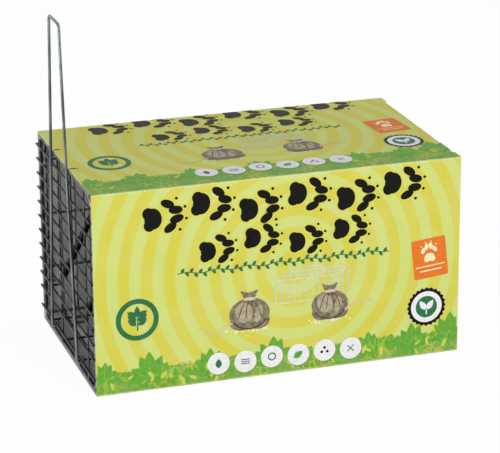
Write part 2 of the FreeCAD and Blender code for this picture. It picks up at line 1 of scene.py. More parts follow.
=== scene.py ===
# %% [markdown]
# # A rat cage trap in its card sleeve
#
# The object is a trap of galvanised wire that is sold in a sleeve of printed card. The sleeve is
# open at one end, where the trap's door and its tall setting lever show. The metal comes ready
# made from the CAD model and only needs its finish. The card, its print and the two wound springs
# are modelled here, because their look is in folds, ink and turns of wire.

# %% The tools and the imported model
import math
import random

import bmesh
import bpy
from bmesh.types import BMEdge, BMFace, BMVert
from mathutils import Matrix, Vector, noise


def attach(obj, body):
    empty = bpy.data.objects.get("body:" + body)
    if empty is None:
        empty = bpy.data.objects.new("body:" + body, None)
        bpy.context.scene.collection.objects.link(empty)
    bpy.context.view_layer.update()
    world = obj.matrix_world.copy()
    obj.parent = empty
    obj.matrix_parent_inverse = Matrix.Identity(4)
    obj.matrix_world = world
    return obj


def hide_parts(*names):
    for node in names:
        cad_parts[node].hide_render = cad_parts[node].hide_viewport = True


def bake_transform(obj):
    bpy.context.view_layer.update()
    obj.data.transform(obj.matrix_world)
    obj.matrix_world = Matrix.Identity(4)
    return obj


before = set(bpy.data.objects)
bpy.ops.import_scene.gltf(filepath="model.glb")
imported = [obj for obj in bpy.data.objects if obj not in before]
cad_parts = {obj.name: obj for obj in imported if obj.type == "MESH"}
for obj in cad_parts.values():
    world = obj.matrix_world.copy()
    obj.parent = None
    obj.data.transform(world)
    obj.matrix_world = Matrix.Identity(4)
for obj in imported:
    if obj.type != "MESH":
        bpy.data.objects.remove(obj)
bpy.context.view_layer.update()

# %% [markdown]
# ## Camera
#
# A camera far away with a long lens keeps the box's edges nearly parallel, as in a catalogue
# picture. Its place is worked out from the point that it looks at, a direction and a distance,
# which is easier to adjust than raw coordinates. A slight roll finishes it.

# %% The camera
AIM = Vector((-0.0210, -0.0835, 0.1174))
CAMERA_AZIMUTH = math.radians(-17.606)
CAMERA_ELEVATION = math.radians(19.100)
CAMERA_ROLL = math.radians(-0.441)
CAMERA_DISTANCE = 1.736
CAMERA_LENS = 173.73

towards_camera = Vector((
    math.sin(CAMERA_AZIMUTH) * math.cos(CAMERA_ELEVATION),
    -math.cos(CAMERA_AZIMUTH) * math.cos(CAMERA_ELEVATION),
    math.sin(CAMERA_ELEVATION),
))
camera_data = bpy.data.cameras.new("camera")
camera_data.lens = CAMERA_LENS
camera_data.clip_end = 50
camera = bpy.data.objects.new("camera", camera_data)
camera.matrix_world = (
    Matrix.Translation(AIM + towards_camera * CAMERA_DISTANCE)
    @ towards_camera.to_track_quat("Z", "Y").to_matrix().to_4x4()
    @ Matrix.Rotation(CAMERA_ROLL, 4, "Z")
)
bpy.context.scene.collection.objects.link(camera)
bpy.context.scene.camera = camera
print("the camera stands at", [round(number, 3) for number in camera.matrix_world.translation])

# %% [markdown]
# ## Small helpers
#
# Every piece is made the same way: a bmesh is shaped, turned into an object and given its
# materials. Every finish is a small network of nodes. Two short sets of helpers keep the cells
# that follow down to what is special about each piece.

# %% Helpers for pieces
def make_piece(name, shape, finishes, body, smooth=True):
    """Turn a bmesh into a piece that rides on a body of the frame."""
    mesh = bpy.data.meshes.new(name)
    shape.to_mesh(mesh)
    shape.free()
    if smooth:
        mesh.shade_smooth()
    for finish in finishes:
        mesh.materials.append(finish)
    piece = bpy.data.objects.new(name, mesh)
    bpy.context.scene.collection.objects.link(piece)
    if body:
        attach(piece, body)
    print(name, "has", len(mesh.polygons), "faces")
    return piece


def paint_nodes(finish, names):
    """Give CAD nodes a finish. Their shapes stay as they are."""
    for name in names:
        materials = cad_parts[name].data.materials
        materials.clear()
        materials.append(finish)


def only(items, kind):
    """The items of one kind: verts, edges or faces."""
    return [item for item in items if isinstance(item, kind)]


# %% Helpers for finishes
def srgb(red, green, blue):
    """A colour as a picture editor shows it, 0 to 255, in the linear numbers that nodes take."""
    linear = []
    for channel in (red, green, blue):
        share = channel / 255
        linear.append(share / 12.92 if share <= 0.04045 else ((share + 0.055) / 1.055) ** 2.4)
    return (*linear, 1.0)


def new_finish(name):
    """A finish, its nodes and its surface shader."""
    finish = bpy.data.materials.new(name)
    finish.use_nodes = True
    return finish, finish.node_tree, finish.node_tree.nodes["Principled BSDF"]


def add_node(tree, kind, inputs=None, **settings):
    """A node with its settings, and its inputs given as numbers or as sockets to link."""
    node = tree.nodes.new(kind)
    for key, setting in settings.items():
        setattr(node, key, setting)
    for key, given in (inputs or {}).items():
        if isinstance(given, bpy.types.NodeSocket):
            tree.links.new(given, node.inputs[key])
        else:
            node.inputs[key].default_value = given
    return node


def maths(tree, operation, first, second=0.0, third=0.0):
    """One step of arithmetic on sockets or numbers."""
    node = add_node(tree, "ShaderNodeMath", {0: first, 1: second, 2: third}, operation=operation)
    return node.outputs[0]


def fade(tree, given, low, high, start=0.0, end=1.0):
    """A smooth step from start to end as the given number goes from low to high."""
    node = add_node(
        tree, "ShaderNodeMapRange",
        {"Value": given, "From Min": low, "From Max": high, "To Min": start, "To Max": end},
        interpolation_type="SMOOTHSTEP",
    )
    return node.outputs["Result"]


def blend_colours(tree, share, first, second):
    node = add_node(tree, "ShaderNodeMix", data_type="RGBA")
    for index, given in ((0, share), (6, first), (7, second)):
        if isinstance(given, bpy.types.NodeSocket):
            tree.links.new(given, node.inputs[index])
        else:
            node.inputs[index].default_value = given
    return node.outputs[2]


def object_place(tree):
    return add_node(tree, "ShaderNodeTexCoord").outputs["Object"]


def grain(tree, place, scale, detail=3.0, roughness=0.5):
    """Noise at a number of lumps per metre, times the place's own stretch."""
    node = add_node(
        tree, "ShaderNodeTexNoise",
        {"Vector": place, "Scale": scale, "Detail": detail, "Roughness": roughness},
    )
    return node.outputs["Fac"]


def bump(tree, surface, height, distance, strength=1.0):
    node = add_node(
        tree, "ShaderNodeBump",
        {"Height": height, "Distance": distance, "Strength": strength},
    )
    tree.links.new(node.outputs["Normal"], surface.inputs["Normal"])


# %% [markdown]
# ## Floor, backdrop and lamps
#
# The picture is a plain product shot on white. A large pale floor catches a soft shadow, the
# world gives the white behind it, and two large soft lamps light the box. One stands in front on
# the right, because the long side is the brightest and the top a little darker. The other stands
# low on the left and reaches into the open end. A lamp that is large for its power matters for
# wire: its mirror image in the zinc is a soft line, and a small lamp's is a row of white specks.

# %% The floor and the white behind it
WHITE = (1.0, 1.0, 1.0, 1.0)
FLOOR_HALF = 8.0
FLOOR_DROP = 0.0004
FLOOR_LIFT = 0.96
AMBIENT = 0.46
ROOM = 0.10
ROOM_ENDS, PAPER_STARTS = -0.85, -0.35

floor_shape = bmesh.new()
bmesh.ops.create_grid(floor_shape, x_segments=1, y_segments=1, size=FLOOR_HALF)
bmesh.ops.translate(floor_shape, vec=(0, 0, -FLOOR_DROP), verts=floor_shape.verts)
floor_finish, tree, surface = new_finish("studio_floor")
surface.inputs["Base Color"].default_value = (0.96, 0.96, 0.96, 1.0)
surface.inputs["Roughness"].default_value = 0.9
surface.inputs["Specular IOR Level"].default_value = 0.1
# the camera and the wires see the floor nearly as white as the paper behind it
rays = add_node(tree, "ShaderNodeLightPath").outputs
seen = maths(tree, "MAXIMUM", rays["Is Camera Ray"], rays["Is Glossy Ray"])
glow = add_node(tree, "ShaderNodeEmission", {"Color": WHITE, "Strength": 1.0})
lifted = add_node(tree, "ShaderNodeMixShader", {0: maths(tree, "MULTIPLY", seen, FLOOR_LIFT)})
tree.links.new(surface.outputs[0], lifted.inputs[1])
tree.links.new(glow.outputs[0], lifted.inputs[2])
tree.links.new(lifted.outputs[0], tree.nodes["Material Output"].inputs["Surface"])
floor = make_piece("studio_floor", floor_shape, [floor_finish], None, smooth=False)

world = bpy.data.worlds.new("studio")
world.use_nodes = True
bpy.context.scene.world = world
tree = world.node_tree
rays = add_node(tree, "ShaderNodeLightPath").outputs
seen = maths(tree, "MAXIMUM", rays["Is Camera Ray"], rays["Is Transmission Ray"])
direction = add_node(tree, "ShaderNodeTexCoord").outputs["Generated"]
depth = add_node(tree, "ShaderNodeSeparateXYZ", {0: direction}).outputs["Y"]
# what shiny wire mirrors: the dark room in front of the table, and the white paper behind it
mirrored = fade(tree, depth, ROOM_ENDS, PAPER_STARTS, ROOM, 1.0)
light = fade(tree, rays["Is Glossy Ray"], 0.0, 1.0, AMBIENT, mirrored)
backdrop = tree.nodes["Background"]
backdrop.inputs["Color"].default_value = WHITE
tree.links.new(fade(tree, seen, 0.0, 1.0, light, 1.0), backdrop.inputs["Strength"])
bpy.context.scene.view_settings.view_transform = "Standard"

# %% The lamps
def soft_lamp(name, place, aim, power, width, height):
    lamp_data = bpy.data.lights.new(name, "AREA")
    lamp_data.shape = "RECTANGLE"
    lamp_data.size = width
    lamp_data.size_y = height
    lamp_data.energy = power
    lamp = bpy.data.objects.new(name, lamp_data)
    lamp.location = place
    lamp.rotation_euler = (Vector(place) - Vector(aim)).to_track_quat("Z", "Y").to_euler()
    bpy.context.scene.collection.objects.link(lamp)


MIDDLE = (0.0, 0.0, 0.07)
soft_lamp("front_lamp", (0.7, -2.0, 1.0), MIDDLE, 22, 1.2, 1.2)
soft_lamp("left_lamp", (-1.9, -0.1, 0.38), MIDDLE, 34, 2.0, 0.7)

# %% [markdown]
# ## Galvanised wire
#
# Wire for cages is dipped in molten zinc. The zinc sets in patches that are a little lighter or
# darker, dulls to a blue grey, and stays brighter where hands and neighbours rub it. A single
# grey looks like plastic, so the colour and the roughness both follow noise: a large one for the
# patches, and a small one that adds specks to the colour and a little relief. Each part also has
# its own pair of tones, and these are partly painted light and shade: the roof, floor, end and
# door wires are very dark as painted shade inside the sleeve, and the side walls, the lever and
# the door's stays are paler as painted light.

# %% The wires' finishes
# the mesh's tones are very dark as painted shade inside the sleeve, and the stays' tones are pale
# as painted light
SHADED_MESH_TONES = (0.022, 0.024, 0.027, 1), (0.055, 0.058, 0.064, 1)
PAINTED_LIGHT_STAY_TONES = (0.05, 0.055, 0.06, 1), (0.15, 0.165, 0.17, 1)
STAYS_FROM_X = -0.1383


def galvanised(name, dark, light, roughness, patches_a_metre=160.0, speckle=0.35, relief=0.00004):
    """Zinc in patches of two tones, with specks over them."""
    finish, tree, surface = new_finish(name)
    place = object_place(tree)
    patches = grain(tree, place, patches_a_metre, 4.0, 0.6)
    specks = grain(tree, place, 900.0, 2.0)
    calm = maths(tree, "MULTIPLY", patches, 1.0 - speckle)
    mixed = maths(tree, "MULTIPLY_ADD", specks, speckle, calm)
    colour = blend_colours(tree, fade(tree, mixed, 0.36, 0.62), dark, light)
    tree.links.new(colour, surface.inputs["Base Color"])
    gloss = fade(tree, patches, 0.35, 0.65, roughness + 0.1, roughness - 0.06)
    tree.links.new(gloss, surface.inputs["Roughness"])
    surface.inputs["Metallic"].default_value = 1.0
    bump(tree, surface, specks, relief, 0.4)
    return finish


# the parts' tones differ as painted light and shade: the mesh and door are darkened as painted
# shade, and the side walls and the lever are lightened as painted light
frame_finish = galvanised("frame_zinc", (0.09, 0.09, 0.115, 1), (0.19, 0.20, 0.24, 1), 0.50)
mesh_finish = galvanised("mesh_zinc", *SHADED_MESH_TONES, 0.40)
wall_finish = galvanised("wall_zinc", (0.10, 0.10, 0.10, 1), (0.20, 0.20, 0.20, 1), 0.46)
lever_finish = galvanised("lever_zinc", (0.085, 0.095, 0.10, 1), (0.22, 0.245, 0.25, 1), 0.38,
                          patches_a_metre=26.0, speckle=0.06, relief=0.000008)
ring_finish = galvanised("ring_zinc", (0.05, 0.05, 0.05, 1), (0.12, 0.12, 0.11, 1), 0.40)
door_finish = galvanised("door_zinc", *SHADED_MESH_TONES, 0.40)

# the door's four stays get paler tones as painted light, and they are told by lying inside its
# level wires
tree = door_finish.node_tree
surface = tree.nodes["Principled BSDF"]
place = object_place(tree)
depth = add_node(tree, "ShaderNodeSeparateXYZ", {0: place}).outputs["X"]
is_stay = fade(tree, depth, STAYS_FROM_X - 0.0001, STAYS_FROM_X + 0.0001)
painted_light_stay_tone = blend_colours(tree, fade(tree, grain(tree, place, 60.0), 0.40, 0.62), *PAINTED_LIGHT_STAY_TONES)
level_tone = surface.inputs["Base Color"].links[0].from_socket
tree.links.new(blend_colours(tree, is_stay, level_tone, painted_light_stay_tone), surface.inputs["Base Color"])

paint_nodes(frame_finish, [
    "door_frame", "entrance_frame", "rear_frame", "lower_front_rod", "lower_back_rod",
    "upper_front_rod", "upper_back_rod", "spring_anchor_bar", "trigger_bar",
])
paint_nodes(mesh_finish, ["floor_mesh", "roof_mesh", "rear_grille"])
paint_nodes(door_finish, ["door_grille"])
paint_nodes(wall_finish, ["front_side_mesh", "back_side_mesh"])
paint_nodes(lever_finish, ["setting_lever", "front_spring_eye", "back_spring_eye", "trigger"])
paint_nodes(ring_finish, ["front_hinge_ring", "back_hinge_ring"])

# %% [markdown]
# ## The two closing springs
#
# Each spring is a tight coil of black spring steel with an open hook at either end. Wire that is
# bent by machine is made from just two moves, a straight run and a bend about a centre, so the
# mesh is made with the same two: extrude a ring of points, or spin it. A spin that also climbs
# makes the coil. At rest the turns nearly touch, and they open when the door is lifted.

# %% Straight runs and bends of wire
def wire_end(shape, diameter, place, heading, sides=10):
    """The round end of a wire, as a ring of edges, facing along the heading."""
    turn = Vector(heading).to_track_quat("Z", "Y").to_matrix().to_4x4()
    made = bmesh.ops.create_circle(
        shape, segments=sides, radius=diameter / 2, matrix=Matrix.Translation(place) @ turn,
    )
    return [edge for edge in shape.edges if edge.verts[0] in made["verts"]]


def run(shape, ring, move):
    """Carry the ring along a straight line."""
    made = bmesh.ops.extrude_edge_only(shape, edges=ring)["geom"]
    bmesh.ops.translate(shape, vec=move, verts=only(made, BMVert))
    return [edge for edge in only(made, BMEdge) if all(vert in made for vert in edge.verts)]


def bend(shape, ring, centre, axis, degrees, steps, climb=(0, 0, 0)):
    """Carry the ring round an axis through a centre, and along by the climb at each step."""
    made = bmesh.ops.spin(
        shape, geom=ring, cent=centre, axis=axis, dvec=climb,
        angle=math.radians(degrees), steps=steps, use_merge=False,
    )
    return only(made["geom_last"], BMEdge)


# %% The springs' measures
ANCHOR = Vector((-0.0768, 0.0, 0.14675))
EYE = Vector((-0.1312, 0.0, 0.0400))
SPRING_WIRE = 0.0010
COIL_RADIUS = 0.0023
SPRING_SPREAD = 0.0410
SPRING_SHIFT = 0.0119
TOP_HOOK = 0.0019
FOOT_HOOK = 0.0016
SHANK = 0.0040
COIL_TURNS = 96
COIL_STEPS = 14 * COIL_TURNS
HOOK_TURN, HOOK_STEPS = 250, 18
QUARTER_STEPS = 6

spring_line = EYE - ANCHOR
spring_length = spring_line.length
down = spring_line.normalized()
coil_start = SHANK + TOP_HOOK
coil_end = spring_length - SHANK - FOOT_HOOK
coil_long = coil_end - coil_start
print(f"each coil is {coil_long:.4f} m long, {coil_long / COIL_TURNS * 1000:.2f} mm a turn")


def coil_middle(side):
    """Where the middle line of a coil starts, at the bar. The hooks lie outside the coil."""
    return Vector((ANCHOR.x, SPRING_SHIFT + side * (SPRING_SPREAD - COIL_RADIUS), ANCHOR.z))


# %% One spring, along its own Z axis, then laid in place
def spring_shape(side):
    """A spring: side is -1 for the front one and 1 for the back one."""
    shape = bmesh.new()
    # the hook round the bar: its plane lies one coil radius to the outside
    start = math.radians(-HOOK_TURN)
    place = Vector((TOP_HOOK * math.cos(start), COIL_RADIUS, TOP_HOOK * math.sin(start)))
    heading = Vector((-math.sin(start), 0.0, math.cos(start)))
    ring = wire_end(shape, SPRING_WIRE, place, heading)
    cap = list(ring)
    ring = bend(shape, ring, (0, COIL_RADIUS, 0), (0, -1, 0), HOOK_TURN, HOOK_STEPS)
    ring = run(shape, ring, (0, 0, SHANK))
    ring = bend(shape, ring, (0, COIL_RADIUS, SHANK), (0, -1, 0), 90, QUARTER_STEPS)
    # the coil, then the same moves in reverse order for the foot
    ring = bend(shape, ring, (0, 0, coil_start), (0, 0, 1), 360 * COIL_TURNS, COIL_STEPS,
                climb=(0, 0, coil_long / COIL_STEPS))
    foot = spring_length - SHANK
    ring = bend(shape, ring, (0, COIL_RADIUS, foot), (0, 1, 0), 90, QUARTER_STEPS)
    ring = run(shape, ring, (0, 0, SHANK))
    ring = bend(shape, ring, (0, COIL_RADIUS, spring_length), (0, 1, 0), HOOK_TURN, HOOK_STEPS)
    for end in (cap, ring):
        bmesh.ops.contextual_create(shape, geom=end)
    if side < 0:
        bmesh.ops.scale(shape, vec=(1, -1, 1), verts=shape.verts)
    # +Z of the spring runs down its own line and its +X points away from the door
    across = Vector((-down.z, 0.0, down.x))
    lay = Matrix((across, Vector((0, 1, 0)), down)).transposed().to_4x4()
    lay = Matrix.Translation(coil_middle(side)) @ lay
    bmesh.ops.transform(shape, matrix=lay, verts=shape.verts)
    bmesh.ops.recalc_face_normals(shape, faces=shape.faces)
    return shape


# %% Spring steel, and both springs
spring_finish, tree, surface = new_finish("black_spring_steel")
place = object_place(tree)
smears = grain(tree, place, 220.0, 4.0, 0.6)
tree.links.new(
    blend_colours(tree, fade(tree, smears, 0.4, 0.65), srgb(34, 34, 34), srgb(62, 62, 60)),
    surface.inputs["Base Color"],
)
tree.links.new(fade(tree, smears, 0.3, 0.7, 0.20, 0.34), surface.inputs["Roughness"])
surface.inputs["Metallic"].default_value = 1.0
bump(tree, surface, grain(tree, place, 1600.0), 0.00003, 0.4)

for name, side in (("front", -1), ("back", 1)):
    spring = make_piece(name + "_wound_spring", spring_shape(side), [spring_finish], None)
    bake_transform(spring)
    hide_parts(name + "_spring", name + "_spring_hook")

# %% [markdown]
# ## The card sleeve
#
# The sleeve is one sheet of card, folded four times into a tube. Card doesn't fold to a knife
# edge: it turns over about its own thickness twice, so a box with sharp corners looks wrong. A
# block with its long edges bevelled gives the folds, both its ends are taken away, and a wall is
# grown inwards. Before that the flat sides are cut into strips, so that they can sag a little
# between the folds, as thin card does. The closed end follows later as a piece of its own.

# %% The sleeve's measures
OPEN_X, END_X = -0.1378, 0.14219
HALF_WIDTH = 0.0835
TALL = 0.1535
INK_ROOM = 0.00025
CARD = 0.0005
FOLD = 0.0011
SAG = 0.00022
RING_PLACES = (-0.0181, 0.0309)
NOTCH_REACH = 0.0074
NOTCH_HALF = 0.0009
LID_SET_BACK = 0.0016
SLIT_SIDE = 0.0715
SLIT = 0.0008
OPEN_STRIP = 0.0035
TOUCHING = 0.0001
AT_SIDE = 0.001
HAIR = 0.00002
INNER_HALF = HALF_WIDTH - INK_ROOM - CARD
INNER_TOP = TALL - INK_ROOM - CARD
INNER_FOOT = INK_ROOM + CARD
CUTS_ALONG = [OPEN_X + 0.01 * step for step in range(1, 28)]
CUTS_ACROSS = [-HALF_WIDTH + 0.0167 * step for step in range(1, 10)]
CUTS_UP = [0.0154 * step for step in range(1, 10)]


def clamp(number):
    return max(0.0, min(1.0, number))


def sag(point):
    """How far the card gives inwards at a point of a side, as a move."""
    along = clamp((point.x - OPEN_X) / (END_X - OPEN_X))
    upright = abs(point.y) > HALF_WIDTH - AT_SIDE
    across = clamp(point.z / TALL if upright else (point.y + HALF_WIDTH) / (2 * HALF_WIDTH))
    rest = 4 * across * (1 - across)
    lumps = 0.6 + 0.8 * noise.noise(Vector((point.x * 14, point.y * 9, point.z * 14 + 3.0)))
    depth = SAG * rest ** 0.6 * clamp(lumps) * (1 - 0.6 * along)
    if upright:
        return Vector((0, -math.copysign(depth, point.y), 0))
    return Vector((0, 0, -depth if point.z > TALL / 2 else 0))


def let_sag(shape):
    for vert in shape.verts:
        vert.co += sag(vert.co)


# %% Cutting, folding and thickening card
def cut(shape, axis, place, towards=1.0, clear=False):
    """Cut a shape across one axis. What lies past the cut can be cleared away."""
    normal, at = Vector((0, 0, 0)), Vector((0, 0, 0))
    normal[axis], at[axis] = towards, place
    everything = [*shape.verts, *shape.edges, *shape.faces]
    bmesh.ops.bisect_plane(
        shape, geom=everything, plane_co=at, plane_no=normal, clear_outer=clear,
    )


def strips(shape, axis, places):
    for place in places:
        cut(shape, axis, place)


def block(low, high):
    """A box between two corners."""
    shape = bmesh.new()
    bmesh.ops.create_cube(shape, size=1)
    size = [end - start for start, end in zip(low, high)]
    middle = [(start + end) / 2 for start, end in zip(low, high)]
    bmesh.ops.scale(shape, vec=size, verts=shape.verts)
    bmesh.ops.translate(shape, vec=middle, verts=shape.verts)
    return shape


def round_off(shape, geom, radius, segments=4, affect="EDGES"):
    bmesh.ops.bevel(
        shape, geom=geom, offset=radius, offset_type="OFFSET", segments=segments, profile=0.5,
        affect=affect, material=-1,
    )


def thicken(shape, thickness):
    """Grow a wall inwards from every face. The new faces come back."""
    made = bmesh.ops.solidify(shape, geom=list(shape.faces), thickness=thickness)
    return only(made["geom"], BMFace)


# %% The folded tube, with notches for the hinge rings
FRONT, TOP, BACK, BOTTOM, RAW = range(5)

tube = block((OPEN_X, INK_ROOM - HALF_WIDTH, 0), (END_X, HALF_WIDTH - INK_ROOM, TALL - INK_ROOM))
ends = [face for face in tube.faces if abs(face.normal.x) > 0.5]
bmesh.ops.delete(tube, geom=ends, context="FACES_ONLY")
long_edges = [edge for edge in tube.edges
              if abs(edge.verts[0].co.x - edge.verts[1].co.x) > 0.1]
round_off(tube, long_edges, FOLD)
strips(tube, 0, [OPEN_X + OPEN_STRIP] + CUTS_ALONG)
strips(tube, 1, CUTS_ACROSS)
strips(tube, 2, CUTS_UP)
strips(tube, 0, [OPEN_X + NOTCH_REACH])
strips(tube, 1, [side * place for side in (-1, 1) for place in (SLIT_SIDE, SLIT_SIDE - SLIT)])
for ring_y in RING_PLACES:
    strips(tube, 1, [ring_y - NOTCH_HALF, ring_y + NOTCH_HALF])
notched = []
for face in tube.faces:
    centre = face.calc_center_median()
    at_ring = any(abs(centre.y - ring_y) < NOTCH_HALF for ring_y in RING_PLACES)
    if at_ring and face.normal.z > 0.9 and centre.x < OPEN_X + NOTCH_REACH:
        notched.append(face)
bmesh.ops.delete(tube, geom=notched, context="FACES")
for face in tube.faces:
    centre = face.calc_center_median()
    if abs(face.normal.y) > 0.7:
        face.material_index = FRONT if centre.y < 0 else BACK
    else:
        face.material_index = TOP if centre.z > TALL / 2 else BOTTOM
# at the closed end the lid's edge lies a little back, between two slits near its corners
for vert in tube.verts:
    x, y, z = vert.co
    if x > END_X - TOUCHING and z > TALL / 2 and abs(y) < SLIT_SIDE - SLIT / 2:
        vert.co.x -= LID_SET_BACK
let_sag(tube)
bmesh.ops.recalc_face_normals(tube, faces=tube.faces)
outside = len(tube.faces)
inside_and_rims = thicken(tube, CARD)
for face in inside_and_rims:
    face.material_index = RAW
print("the tube has", outside, "faces outside and", len(inside_and_rims), "within")

# %% [markdown]
# ## The print on the card
#
# The card is printed in lime with broad soft rings, like ripples, and with a green band of
# leaves along its foot. Both are even patterns, so they are worked out in the material from the
# place on the card. The place is first turned into millimetres across and down each side, so that
# one recipe serves the long sides and the top.

# %% The printed card's finish
SHEET_TALL = 153.5
TOP_STRETCH = 1.08
TOP_SHIFT = 9.4
RING_MIDDLE, END_RING_MIDDLE = (151.0, 71.0), (83.0, 84.0)
FIRST_RING, RING_STEP = 18.0, 17.1
LIME = srgb(203, 213, 118)
YELLOW = srgb(208, 202, 74)
GREEN = srgb(96, 158, 54)
PALE_GREEN = srgb(144, 178, 66)
GOLD = srgb(182, 184, 60)
SCUFFED = srgb(235, 236, 196)
RUBBED_AND_HIGHLIT = srgb(226, 228, 176)


def across_and_down(tree, side):
    """Two sockets: millimetres from the left edge of a side and from the top of its print."""
    parts = add_node(tree, "ShaderNodeSeparateXYZ", {0: object_place(tree)}).outputs
    half = HALF_WIDTH * 1000
    across = {"back": ("X", -1000.0, END_X * 1000), "end": ("Y", 1000.0, half)}
    down = {
        "top": ("Y", -1000.0 / TOP_STRETCH, SHEET_TALL - (half - TOP_SHIFT) / TOP_STRETCH),
        "bottom": ("Y", 1000.0, half),
    }
    ways = (across.get(side, ("X", 1000.0, -OPEN_X * 1000)),
            down.get(side, ("Z", -1000.0, SHEET_TALL)))
    return [maths(tree, "MULTIPLY_ADD", parts[axis], scale, start) for axis, scale, start in ways]


def varnish(tree, surface, place):
    """The satin varnish over card and inks alike, with faint fibres under it."""
    surface.inputs["Specular IOR Level"].default_value = 0.12
    bump(tree, surface, grain(tree, place, 2600.0, 3.0), 0.00003, 0.35)


def card_surface(tree, surface, colour):
    """What all the printed card shares: its varnish, with pale and dull scuffs."""
    place = object_place(tree)
    clouds = grain(tree, place, 45.0, 3.0)
    toned = blend_colours(tree, fade(tree, clouds, 0.3, 0.7, 0.0, 0.09), colour, SCUFFED)
    tree.links.new(toned, surface.inputs["Base Color"])
    tree.links.new(fade(tree, clouds, 0.35, 0.7, 0.46, 0.60), surface.inputs["Roughness"])
    varnish(tree, surface, place)


def fold_wear_and_highlight(tree, colour):
    """Ink paled along the upper and lower folds: partly rubbed ink, and partly a painted highlight
    on the folds.
    """
    place = object_place(tree)
    parts = add_node(tree, "ShaderNodeSeparateXYZ", {0: place}).outputs
    from_side = maths(tree, "SUBTRACT", HALF_WIDTH, maths(tree, "ABSOLUTE", parts["Y"]))
    from_top = maths(tree, "SUBTRACT", TALL, parts["Z"])
    from_fold = maths(tree, "ADD", from_side, maths(tree, "MINIMUM", from_top, parts["Z"]))
    rub = grain(tree, place, 420.0, 5.0, 0.7)
    # the pale line along the folds is partly rubbed ink and partly a painted highlight
    edge = fade(tree, from_fold, 0.0008, 0.0022, 0.75, 0.0)
    wear_and_highlight = maths(tree, "MULTIPLY", edge, fade(tree, rub, 0.30, 0.62, 0.25, 1.0))
    return blend_colours(tree, wear_and_highlight, colour, RUBBED_AND_HIGHLIT)


def leafy_foot(tree, across, down, card):
    """The card's colour with the green band over its foot, ragged and veined with gold."""
    spot = add_node(tree, "ShaderNodeCombineXYZ", {0: across, 1: down}).outputs[0]
    shore = maths(tree, "MULTIPLY_ADD", grain(tree, spot, 0.16, 4.0, 0.6), -16.0, 144.0)
    band = fade(tree, maths(tree, "SUBTRACT", down, shore), -0.3, 0.3)
    petals = add_node(
        tree, "ShaderNodeTexVoronoi", {"Vector": spot, "Scale": 0.17, "Randomness": 0.9},
        feature="DISTANCE_TO_EDGE",
    ).outputs["Distance"]
    blots = fade(tree, grain(tree, spot, 0.045, 3.0), 0.46, 0.58)
    veins = maths(tree, "MULTIPLY", fade(tree, petals, 0.02, 0.14, 1.0, 0.0), blots)
    pale = fade(tree, grain(tree, spot, 0.3), 0.45, 0.6, 0.0, 0.5)
    leafy = blend_colours(tree, pale, blend_colours(tree, veins, GREEN, GOLD), PALE_GREEN)
    return blend_colours(tree, band, card, leafy)


def printed_card(side):
    """Lime card with broad yellow rings, and with the leaves on all sides but the bottom."""
    finish, tree, surface = new_finish(side + "_print")
    across, down = across_and_down(tree, side)
    middle = END_RING_MIDDLE if side == "end" else RING_MIDDLE
    away_across = maths(tree, "SUBTRACT", across, middle[0])
    away_down = maths(tree, "SUBTRACT", down, middle[1])
    squares = maths(tree, "MULTIPLY_ADD", away_across, away_across,
                    maths(tree, "MULTIPLY", away_down, away_down))
    turns = maths(tree, "SUBTRACT", maths(tree, "SQRT", squares), FIRST_RING)
    wave = maths(tree, "COSINE", maths(tree, "MULTIPLY", turns, 2 * math.pi / RING_STEP))
    colour = blend_colours(tree, fade(tree, wave, -0.30, 0.30), YELLOW, LIME)
    if side != "bottom":
        colour = leafy_foot(tree, across, down, colour)
    card_surface(tree, surface, fold_wear_and_highlight(tree, colour))
    return finish


# %% The raw board inside and along the cut edges
def raw_board(name, dark, light):
    """Grey or brown pulp that shows where the card isn't printed."""
    finish, tree, surface = new_finish(name)
    place = object_place(tree)
    pulp = grain(tree, place, 700.0, 6.0, 0.7)
    clouds = maths(tree, "MULTIPLY", grain(tree, place, 60.0, 3.0), 0.4)
    mixed = maths(tree, "MULTIPLY_ADD", pulp, 0.6, clouds)
    toned = blend_colours(tree, fade(tree, mixed, 0.35, 0.65), srgb(*dark), srgb(*light))
    tree.links.new(toned, surface.inputs["Base Color"])
    surface.inputs["Roughness"].default_value = 0.92
    surface.inputs["Specular IOR Level"].default_value = 0.2
    bump(tree, surface, pulp, 0.00008, 0.6)
    return finish


board_finish = raw_board("raw_board", (206, 206, 200), (226, 225, 218))
card_finishes = [printed_card(side) for side in ("front", "top", "back", "bottom")]
card_finishes.append(board_finish)
sleeve = make_piece("folded_sleeve", tube, card_finishes, "sleeve", smooth=False)
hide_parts("card_sleeve")

# %% [markdown]
# ## The glued seam
#
# One sheet becomes a tube where its last narrow flap is glued to the inside of the back. Seen
# through the door that is only a fine line along the wall and a dab of lime ink near the open
# end, but without them the inside looks moulded. The flap is a thin slab that gives with the card.

# %% The flap inside the back
SEAM_CARD = 0.00020
SEAM_FACE = INNER_HALF - SEAM_CARD
SEAM_TOP, SEAM_FOOT = 0.0440, 0.0018
SEAM_ENDS = (OPEN_X + 0.0004, END_X - 0.0060)
CUT_EDGE = 0.0006
DAB_PLACE = (-0.1339, SEAM_FACE - HAIR, 0.0372)
DAB_RADII = (0.0015, 0.0030)
DAB_LEAN = -14

